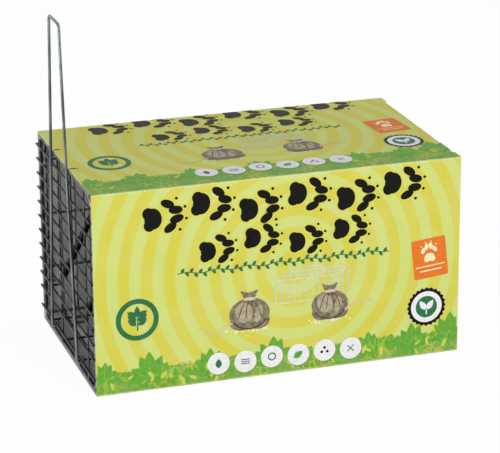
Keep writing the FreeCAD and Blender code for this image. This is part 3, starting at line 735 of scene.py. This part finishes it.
seam = block((SEAM_ENDS[0], SEAM_FACE, SEAM_FOOT), (SEAM_ENDS[1], INNER_HALF, SEAM_TOP))
strips(seam, 0, CUTS_ALONG)
strips(seam, 2, CUTS_UP[:2] + [SEAM_TOP - CUT_EDGE])
for face in seam.faces:
    face.material_index = 1 if face.calc_center_median().z > SEAM_TOP - CUT_EDGE else 0
dab = bmesh.ops.create_circle(seam, cap_ends=True, segments=20, radius=1.0)["verts"]
lay = (
    Matrix.Translation(DAB_PLACE)
    @ Matrix.Rotation(math.radians(DAB_LEAN), 4, "Y")
    @ Matrix.Rotation(math.radians(90), 4, "X")
    @ Matrix.Diagonal((*DAB_RADII, 1, 1))
)
bmesh.ops.transform(seam, matrix=lay, verts=dab)
for face in dab[0].link_faces:
    face.material_index = 2
let_sag(seam)
seam_finishes = [
    board_finish, raw_board("cut_board", (132, 112, 78), (158, 138, 100)),
    raw_board("lime_dab", (206, 226, 20), (220, 238, 34)),
]
seam_piece = make_piece("glued_flap", seam, seam_finishes, "sleeve", smooth=False)

# %% [markdown]
# ## The closed end
#
# The far end is shut as a carton is: the end panel is one more flap of the sheet. It folds up
# from the bottom, and a narrow tongue folds over at its top and is tucked in under the lid. Two
# short side flaps lie behind it. Flaps never meet exactly, so a hair of shadow shows round them.

# %% The end panel and its tongue
FLAP_ROOM = 0.0002
FLAP_GAP = 0.0007
FOOT_RETURN = 0.006
TONGUE, TONGUE_DROP = 0.018, 0.0012

end_x = END_X - INK_ROOM - HAIR
foot, lid = INNER_FOOT + FLAP_ROOM, INNER_TOP - FLAP_ROOM
end_half = INNER_HALF - FLAP_GAP
bends = ((END_X - FOOT_RETURN, foot), (end_x, foot),
         (end_x, lid), (END_X - TONGUE, lid - TONGUE_DROP))

# a bent line is pulled across, and its bends are rounded
end_flap = bmesh.new()
verts = [end_flap.verts.new((x, -end_half, z)) for x, z in bends]
edges = [end_flap.edges.new(pair) for pair in zip(verts, verts[1:])]
pulled = bmesh.ops.extrude_edge_only(end_flap, edges=edges)["geom"]
bmesh.ops.translate(end_flap, vec=(0, 2 * end_half, 0), verts=only(pulled, BMVert))
round_off(end_flap, [edge for edge in end_flap.edges if len(edge.link_faces) == 2], FOLD)
bmesh.ops.recalc_face_normals(end_flap, faces=end_flap.faces)
if max(end_flap.faces, key=lambda face: face.calc_area()).normal.x < 0:
    bmesh.ops.reverse_faces(end_flap, faces=end_flap.faces)
for face in thicken(end_flap, CARD):
    face.material_index = 1
end_finishes = [printed_card("end"), board_finish]
end_piece = make_piece("end_flap", end_flap, end_finishes, "sleeve", smooth=False)

# %% The two side flaps behind it
SIDE_FLAP = 0.042
SIDE_FLAP_CARD = 0.0003
SIDE_ROOM = 0.0003
FOLD_DEPTH, TIP_DEPTH = 0.0011, 0.0013
FOLD_INSET, TIP_INSET = 0.0020, 0.0080

side_flaps = bmesh.new()
for side in (-1, 1):
    near = side * (INNER_HALF - SIDE_ROOM)
    far = side * (HALF_WIDTH - SIDE_FLAP)
    side_flaps.faces.new([side_flaps.verts.new(point) for point in (
        (end_x - FOLD_DEPTH, near, FOLD_INSET), (end_x - TIP_DEPTH, far, TIP_INSET),
        (end_x - TIP_DEPTH, far, TALL - TIP_INSET), (end_x - FOLD_DEPTH, near, TALL - FOLD_INSET),
    )])
thicken(side_flaps, SIDE_FLAP_CARD)
bmesh.ops.recalc_face_normals(side_flaps, faces=side_flaps.faces)
side_piece = make_piece("side_flaps", side_flaps, [board_finish], "sleeve", smooth=False)

# %% [markdown]
# ## The printed pictures
#
# Pictures with hard edges could be painted by formula, but crisp shapes are easier to draw as
# what they are: flat pieces of ink. Each one is drawn lying down, in millimetres on a sheet as
# large as the long side, and every next layer lies a hair higher, so that nothing flickers. The
# whole sheet is then laid on a side of the card with one matrix.
#
# The design is our own and says what the box holds without words: a trail of paw prints, sacks of
# grain with a cage behind them, a sprig in a ring, an orange tag, a seal and a row of pale discs
# on the leaves.

# %% Inks
INK_TONES = {
    "black": ((8, 9, 8), (15, 16, 12)),
    "halo": ((214, 208, 74), (220, 214, 86)),
    "dark_green": ((44, 106, 66), (54, 118, 72)),
    "leaf": ((92, 160, 56), (110, 172, 62)),
    "pale_leaf": ((132, 178, 66), (148, 188, 72)),
    "vein": ((190, 204, 88), (200, 208, 92)),
    "white": ((226, 226, 230), (236, 236, 238)),
    "shade": ((120, 150, 84), (132, 160, 90)),
    "orange": ((222, 112, 40), (230, 122, 46)),
    "cream": ((240, 226, 178), (244, 232, 190)),
    "sack": ((104, 96, 78), (150, 138, 114)),
    "sack_light": ((156, 144, 120), (184, 172, 146)),
    "sack_dark": ((70, 64, 52), (92, 84, 68)),
    "twine": ((206, 186, 158), (218, 200, 176)),
    "wire_grey": ((196, 204, 178), (214, 218, 198)),
}
INK_ORDER = list(INK_TONES)
LAYER = 0.04


def ink(name, dark, light):
    """Flat printing ink under the same varnish as the card, with a little mottle."""
    finish, tree, surface = new_finish(name + "_ink")
    place = object_place(tree)
    mottle = grain(tree, place, 300.0, 4.0, 0.6)
    toned = blend_colours(tree, fade(tree, mottle, 0.35, 0.65), srgb(*dark), srgb(*light))
    tree.links.new(toned, surface.inputs["Base Color"])
    tree.links.new(fade(tree, mottle, 0.3, 0.7, 0.46, 0.56), surface.inputs["Roughness"])
    varnish(tree, surface, place)
    return finish


INKS = [ink(name, *tones) for name, tones in INK_TONES.items()]

# %% Shapes of ink
def colour_faces(faces, colour):
    for face in faces:
        face.material_index = INK_ORDER.index(colour)


def faces_of(verts):
    return {face for vert in verts for face in vert.link_faces}


def unit(degrees):
    """A step of length one, as an angle points."""
    return Vector((math.cos(math.radians(degrees)), math.sin(math.radians(degrees))))


def spot(shape, across, up, layer, colour, radii, turn=0.0, sides=28, pinch=False):
    """A disc, an oval or, pinched, a leaf."""
    verts = bmesh.ops.create_circle(shape, cap_ends=True, segments=sides, radius=1.0)["verts"]
    if pinch:
        for vert in verts:
            vert.co.y *= abs(vert.co.y) ** 0.8 * (1.0 - 0.25 * vert.co.x)
    place = (
        Matrix.Translation((across, up, layer * LAYER))
        @ Matrix.Rotation(math.radians(turn), 4, "Z")
        @ Matrix.Diagonal((*radii, 1, 1))
    )
    bmesh.ops.transform(shape, matrix=place, verts=verts)
    colour_faces(faces_of(verts), colour)


def leaf(shape, across, up, layer, colour, radii, turn, sides=20):
    spot(shape, across, up, layer, colour, radii, turn, sides, pinch=True)


def ring(shape, across, up, layer, colour, outer, inner, sides, lobes=0, lobe_depth=0.0):
    """A flat ring. Its outer edge may be wavy."""
    rim = bmesh.ops.create_circle(shape, segments=sides, radius=outer)["verts"]
    hole = bmesh.ops.create_circle(shape, segments=sides, radius=inner)["verts"]
    for vert in rim:
        vert.co *= 1 + lobe_depth * math.cos(lobes * math.atan2(vert.co.y, vert.co.x))
    edges = [edge for edge in shape.edges
             if not edge.link_faces and (edge.verts[0] in rim or edge.verts[0] in hole)]
    bmesh.ops.bridge_loops(shape, edges=edges)
    place = Matrix.Translation((across, up, layer * LAYER))
    bmesh.ops.transform(shape, matrix=place, verts=rim + hole)
    colour_faces(faces_of(rim), colour)


def patch(shape, corners, layer, colour, rounding=0.0):
    """A flat patch between corners, which may be rounded."""
    verts = [shape.verts.new((across, up, layer * LAYER)) for across, up in corners]
    colour_faces([shape.faces.new(verts)], colour)
    if rounding:
        round_off(shape, verts, rounding, segments=5, affect="VERTICES")


def stroke(shape, line, width, layer, colour):
    """A line of even width along a few points."""
    sides = []
    for index, place in enumerate(line):
        before = Vector(line[max(index - 1, 0)])
        after = Vector(line[min(index + 1, len(line) - 1)])
        along = (after - before).normalized()
        normal = Vector((-along.y, along.x)) * width / 2
        sides.append([
            shape.verts.new((*(Vector(place) + normal * sign), layer * LAYER)) for sign in (1, -1)
        ])
    for first, second in zip(sides, sides[1:]):
        colour_faces([shape.faces.new((first[0], first[1], second[1], second[0]))], colour)


# %% Paw prints
PAD = ((0, -4.2, 6.4, 5.2), (-3.6, -6.8, 3.6, 3.4), (3.6, -6.8, 3.6, 3.4))
TOES = ((-7.2, 5.2, 62), (-2.7, 9.6, 82), (2.7, 9.6, 98), (7.2, 5.2, 118))


def paw(shape, across, up, turn, size=1.0, colour="black", halo=True):
    """A rounded pad, four long toes and the dots of their claws, mostly over a pale halo."""
    rotate = Matrix.Rotation(math.radians(turn), 2)

    def part(x, y, *look):
        place = rotate @ Vector((x, y)) * size
        spot(shape, across + place.x, up + place.y, *look)

    coats = [(1, "halo", 1.1), (2, colour, 0.0)] if halo else [(2, colour, 0.0)]
    for layer, tint, grow in coats:
        for x, y, wide, tall in PAD:
            radii = (wide * size + grow, tall * size + grow)
            part(x, y, layer + 0.1 * wide / 7, tint, radii, turn)
        for x, y, lean in TOES:
            radii = (4.2 * size + grow, 2.5 * size + grow)
            part(x, y, layer + 0.2, tint, radii, turn + lean)
            claw = 0.9 * size + grow * 0.6
            part(x * 1.32, y + 5.6, layer + 0.3, tint, (claw, claw), 0, 14)


# %% Sacks of grain, with a cage behind
# ovals: place, layer, ink, radii and turn
SACK_SHAPES = (
    (0, 0, 3, "sack", 15.5, 12.0, 0),
    (-6, -6.5, 3.1, "sack", 9.0, 6.4, 0),
    (6.5, -6.5, 3.2, "sack", 9.0, 6.4, 0),
    (-4, 1, 3.5, "sack_light", 6.5, 8.0, 18),
    (7, -1, 3.6, "sack_light", 3.0, 7.0, -14),
)
SACK_NECK = ((-3.2, 10), (3.2, 10), (7, 18), (0, 16), (-7, 18))
SACK_TIE = ((-4.4, 10.2), (4.4, 10.2), (4.4, 12.4), (-4.4, 12.4))
SACK_FOLDS = (-1.2, -0.4, 0.5, 1.3)
KERNELS = 22


def sack(shape, across, up, size):
    """A tied sack with lit sides and dark folds, and kernels of grain at its foot."""
    def at(x, y):
        return across + x * size, up + y * size

    chance = random.Random(round(across))
    for _ in range(KERNELS):
        place = at(chance.uniform(-19, 19), -chance.uniform(11, 14.5))
        layer = 2.6 + 0.3 * chance.random()
        spot(shape, *place, layer, "cream", (1.2 * size, 0.75 * size), chance.uniform(0, 180), 10)
    for x, y, layer, colour, wide, tall, turn in SACK_SHAPES:
        spot(shape, *at(x, y), layer, colour, (wide * size, tall * size), turn)
    patch(shape, [at(*corner) for corner in SACK_NECK], 3.4, "sack", 0.8 * size)
    patch(shape, [at(*corner) for corner in SACK_TIE], 3.8, "twine", 0.9 * size)
    for side in SACK_FOLDS:
        fold = [at(side * (1.6 + 5.4 * t), 9.6 - 13.0 * t * t) for t in (0.0, 0.3, 0.6, 0.8, 1.0)]
        stroke(shape, fold, 0.7 * size, 3.7, "sack_dark")
    arc = [math.radians(turn) for turn in range(205, 336, 13)]
    shadow = [at(13.5 * math.cos(turn), -1.5 + 10.5 * math.sin(turn)) for turn in arc]
    stroke(shape, shadow, 1.4 * size, 3.65, "sack_dark")


def curl(start, reach, drop, steps=16):
    """Points along a loose length of twine."""
    shares = [step / steps for step in range(steps + 1)]
    return [
        (start[0] + reach * share,
         start[1] - drop * math.sin(share * 2.6) + 1.2 * math.sin(share * 9))
        for share in shares
    ]


def cage_picture(shape, left, low, width, tall, deep=(9.0, 6.0)):
    """A wire cage in slanting lines: its near side, its roof, its right end and a handle."""
    right, top = left + width, low + tall
    wires = []
    for step in range(11):
        x = left + width * step / 10
        wires.append(((x, low), (x, top), 0.5, 1.3))
        wires.append(((x, top), (x + deep[0], top + deep[1]), 0.45, 1.4))
    for step in range(5):
        y = low + tall * step / 4
        wires.append(((left, y), (right, y), 0.5, 1.5))
        wires.append(((right, y), (right + deep[0], y + deep[1]), 0.45, 1.6))
    for share in (0.5, 1.0):
        x, y = deep[0] * share, deep[1] * share
        wires.append(((left + x, top + y), (right + x, top + y), 0.7, 1.7))
        wires.append(((right + x, low + y), (right + x, top + y), 0.7, 1.8))
    edge = [(left, low), (right, low), (right, top), (left, top), (left, low)]
    wires += [(*pair, 1.0, 1.9) for pair in zip(edge, edge[1:])]
    for start, end, thick, layer in wires:
        stroke(shape, [start, end], thick, layer, "wire_grey")
    handle = [(left + width * 0.3 + deep[0] / 2 + width * 0.2 * (1 - math.cos(math.pi * t / 12)),
               top + deep[1] / 2 + 6 * math.sin(math.pi * t / 12)) for t in range(13)]
    stroke(shape, handle, 1.1, 2.0, "wire_grey")


# %% Sprig, tag, seal and discs
def sprig(shape, across, up, size, layer, colour):
    """A stem with three pairs of leaves and one at its tip."""
    stroke(shape, [(across, up - 8 * size), (across + 0.4 * size, up), (across, up + 5 * size)],
           1.0 * size, layer, colour)
    for height, lean in ((-3.5, 38), (0.0, 34), (3.0, 30)):
        for side in (-1, 1):
            leaf(shape, across + side * 4.2 * size, up + (height + 2.6) * size, layer + 0.2,
                 colour, (4.2 * size, 2.3 * size), 90 - side * (90 - lean))
    leaf(shape, across, up + 8 * size, layer + 0.2, colour, (4.0 * size, 2.2 * size), 90)


def tag(shape, across, up, width, tall, turn):
    """An orange label with a paw print over two bars."""
    rotate = Matrix.Rotation(math.radians(turn), 2)

    def at(x, y):
        moved = rotate @ Vector((x, y))
        return across + moved.x, up + moved.y

    half, high = width / 2, tall / 2
    # each patch: its inset from the sides, its foot and head, its layer, ink and rounding
    for inset, foot, head, *look in (
        (0, 0, tall, 1.5, "orange", 1.6), (2, 9, 9.8, 2.0, "cream"), (5, 5.4, 6.4, 2.0, "cream"),
    ):
        left, right, low, top = inset - half, half - inset, foot - high, head - high
        patch(shape, [at(left, low), at(right, low), at(right, top), at(left, top)], *look)
    paw(shape, *at(0, 3.4), turn, 0.62, "cream", halo=False)


def seal(shape, across, up, size):
    """A black cog with a white face and two leaves on a green disc."""
    ring(shape, across, up, 1.6, "black", 15 * size, 11.6 * size, 96, 24, 0.045)
    spot(shape, across, up, 1.8, "white", (12.4 * size, 12.4 * size), 0, 56)
    spot(shape, across, up, 2.0, "dark_green", (8.6 * size, 8.6 * size), 0, 48)
    for side in (-1, 1):
        leaf(shape, across + side * 2.9 * size, up + 1.4 * size, 2.3, "white",
             (4.3 * size, 2.3 * size), 90 - side * 34, 24)
    stroke(shape, [(across, up - 6.0 * size), (across, up - 2.4 * size)], 1.1 * size, 2.4, "white")


DISCS = (
    (92, 14.2, "drop"), (112.5, 13.2, "bars"), (133, 14.4, "ring"),
    (153.5, 13.4, "leaf"), (174, 14.2, "dots"), (194.5, 13.2, "cross"),
)


def disc(shape, across, up, mark):
    """A pale disc with a simple mark, over its own shade."""
    spot(shape, across + 0.7, up - 0.9, 3.6, "shade", (8.7, 8.7), 0, 44)
    spot(shape, across, up, 3.9, "white", (8.5, 8.5), 0, 44)
    if mark == "drop":
        leaf(shape, across, up, 4.2, "dark_green", (3.6, 2.4), 90)
    elif mark == "bars":
        for step in (-1.6, 0, 1.6):
            stroke(shape, [(across - 3.4, up + step), (across + 3.4, up + step)], 0.7, 4.2, "black")
    elif mark == "ring":
        ring(shape, across, up, 4.2, "dark_green", 3.2, 2.2, 32)
    elif mark == "leaf":
        leaf(shape, across, up, 4.2, "leaf", (4.0, 2.6), 35)
        stroke(shape, [(across - 3.8, up - 2.7), (across + 2.6, up + 1.9)], 0.5, 4.5, "dark_green")
    elif mark == "dots":
        for x, y in ((-2.2, -1.2), (2.2, -1.2), (0, 2.0)):
            spot(shape, across + x, up + y, 4.2, "black", (1.1, 1.1), 0, 14)
    else:
        for slope, layer in ((2.4, 4.2), (-2.4, 4.4)):
            stroke(shape, [(across - 2.4, up - slope), (across + 2.4, up + slope)],
                   0.8, layer, "dark_green")


# %% The leaves along the foot
CLUMPS = (
    (7, 11, 15), (42, 8, 20), (86, 8, 18), (134, 9, 20), (206, 8, 17), (244, 8, 19), (273, 11, 22),
)


def clump(shape, across, up, size, chance):
    """A fan of pointed leaves that grow from one place."""
    for step in range(7):
        lean = 90 + (step - 3) * 26 + chance.uniform(-7, 7)
        reach = size * (1.0 - 0.35 * abs(lean - 90) / 90)
        out = unit(lean) * reach / 2
        leaf(shape, across + out.x, up + out.y, 1.4 + 0.1 * step, "leaf",
             (reach * 0.54, reach * 0.24), lean)
        if step % 2:
            rib = [(across + out.x * share, up + out.y * share) for share in (0.3, 1.7)]
            stroke(shape, rib, 0.4, 2.3, "pale_leaf")


def leaf_band(shape, length, seed):
    """Clumps of leaves that stand out of the green band, with single leaves between."""
    chance = random.Random(seed)
    for across, up, size in CLUMPS:
        clump(shape, across + chance.uniform(-3, 3), up, size * chance.uniform(0.92, 1.08), chance)
    across = 2.0
    while across < length - 2.0:
        thick = 0.5 + 0.4 * math.sin(across * 0.11 + seed)
        size = (3.0 + 4.0 * thick) * chance.uniform(0.75, 1.15)
        up = 11.0 + 5.0 * thick * chance.uniform(0.2, 1.0)
        lean = 90 + chance.uniform(-62, 62)
        colour = chance.choice(("leaf", "leaf", "leaf", "pale_leaf"))
        layer = 1.0 + 0.8 * chance.random()
        x = min(max(across, size), length - size)
        leaf(shape, x, up, layer, colour, (size, size * 0.42), lean, 16)
        if size > 5.5:
            tilt = unit(lean) * size * 0.8
            stroke(shape, [(x - tilt.x, up - tilt.y), (x + tilt.x, up + tilt.y)], 0.35, 2.2, "vein")
        across += chance.uniform(2.2, 5.2)
    for _ in range(int(length * 0.16)):
        x, y = chance.uniform(4, length - 4), chance.uniform(2.5, 14.0)
        size = chance.uniform(2.2, 4.2)
        leaf(shape, x, y, 1.9 + chance.random() * 0.8, chance.choice(("vein", "pale_leaf")),
             (size, size * 0.4), chance.uniform(0, 180), 12)


# %% The whole sheet
SHEET_LONG = 280.0
TRAIL = (
    (50, 131.5, -84, 1.25), (86, 138.0, -96, 1.25), (122, 131.0, -84, 1.25),
    (159, 137.5, -97, 1.25), (196, 131.5, -85, 1.25), (232, 138.0, -95, 1.25),
    (90, 102.5, -84, 1.1), (124, 107.5, -97, 1.1), (158, 102.0, -85, 1.1), (192, 107.0, -96, 1.1),
)


def art_sheet(seed):
    """The design of a large side. The seed sets only how its leaves lie."""
    sheet = bmesh.new()
    for print_place in TRAIL:
        paw(sheet, *print_place)
    vine = [(62 + 162 * t / 48, 87.0 + 0.9 * math.sin(t * 0.9)) for t in range(49)]
    stroke(sheet, vine, 0.7, 1.0, "dark_green")
    for t in range(1, 48):
        side = 1 if t % 2 else -1
        x, y = vine[t]
        leaf(sheet, x + 0.6, y + side * 1.6, 1.3, "dark_green", (2.2, 1.3), side * 55, 10)
    cage_picture(sheet, 136, 55.0, 48, 18)
    sack(sheet, 116, 50.5, 1.0)
    sack(sheet, 178, 50.0, 0.92)
    stroke(sheet, curl((103, 44), -26, 5.0), 1.1, 4.1, "twine")
    stroke(sheet, curl((190, 44), 22, -6.0), 1.1, 4.1, "twine")
    ring(sheet, 31.5, 56.0, 1.4, "dark_green", 16.0, 12.2, 72)
    sprig(sheet, 31.5, 55.0, 0.95, 1.7, "dark_green")
    tag(sheet, 256.5, 77.0, 27, 31, 6)
    seal(sheet, 254.5, 38.5, 0.99)
    leaf_band(sheet, SHEET_LONG, seed)
    for disc_place in DISCS:
        disc(sheet, *disc_place)
    return sheet


# %% Laying a sheet on a side
MILLIMETRE = 0.001
SKIN = INK_ROOM - 0.00003


def print_on(sheet, name, ways, corner, low, high, give=True):
    """Lay a sheet on a side, cut it off at the folds and let it follow the card.

    The ways say where across, up and outwards on the sheet point on the trap.
    """
    rows = [[MILLIMETRE * part for part in row] + [start] for row, start in zip(zip(*ways), corner)]
    bmesh.ops.transform(sheet, matrix=Matrix(rows + [[0, 0, 0, 1]]), verts=sheet.verts)
    for axis in range(3):
        cut(sheet, axis, low[axis], towards=-1.0, clear=True)
        cut(sheet, axis, high[axis], clear=True)
    if give:
        let_sag(sheet)
    sheet.normal_update()
    wrong = [face for face in sheet.faces if face.normal.dot(Vector(ways[2])) < 0]
    bmesh.ops.reverse_faces(sheet, faces=wrong)
    art = make_piece(name, sheet, INKS, "sleeve", smooth=False)


# %% The three large sides
LOW = (OPEN_X + FOLD, -HALF_WIDTH, FOLD)
HIGH = (END_X - FOLD, HALF_WIDTH, TALL)
print_on(
    art_sheet(3), "front_pictures", ((1, 0, 0), (0, 0, 1), (0, -1, 0)),
    (OPEN_X, SKIN - HALF_WIDTH, 0), LOW, HIGH,
)
print_on(
    art_sheet(8), "top_pictures", ((1, 0, 0), (0, TOP_STRETCH, 0), (0, 0, 1)),
    (OPEN_X, TOP_SHIFT * MILLIMETRE - HALF_WIDTH, TALL - SKIN),
    (LOW[0], FOLD - HALF_WIDTH, FOLD), (HIGH[0], HALF_WIDTH - FOLD, TALL),
)
print_on(
    art_sheet(5), "back_pictures", ((-1, 0, 0), (0, 0, 1), (0, 1, 0)),
    (END_X, HALF_WIDTH - SKIN, 0), LOW, HIGH,
)

# %% [markdown]
# The closed end has room for less: a short trail over a sprig in its ring, and the leaves again.

# %% The closed end's pictures
END_INSET = 0.0030
END_TRAIL = ((30, 127, -84, 1.1), (66, 133, -96, 1.1), (102, 127, -84, 1.1), (138, 133, -96, 1.1))

end_sheet = bmesh.new()
for print_place in END_TRAIL:
    paw(end_sheet, *print_place)
ring(end_sheet, 83.5, 70.0, 1.4, "dark_green", 25.0, 20.0, 80)
sprig(end_sheet, 83.5, 68.5, 1.5, 1.7, "dark_green")
leaf_band(end_sheet, 2 * HALF_WIDTH * 1000, 11)
print_on(
    end_sheet, "end_pictures", ((0, 1, 0), (0, 0, 1), (1, 0, 0)),
    (end_x + HAIR / 2, -HALF_WIDTH, 0), (OPEN_X, END_INSET - HALF_WIDTH, END_INSET),
    (END_X, HALF_WIDTH - END_INSET, TALL - END_INSET), give=False,
)
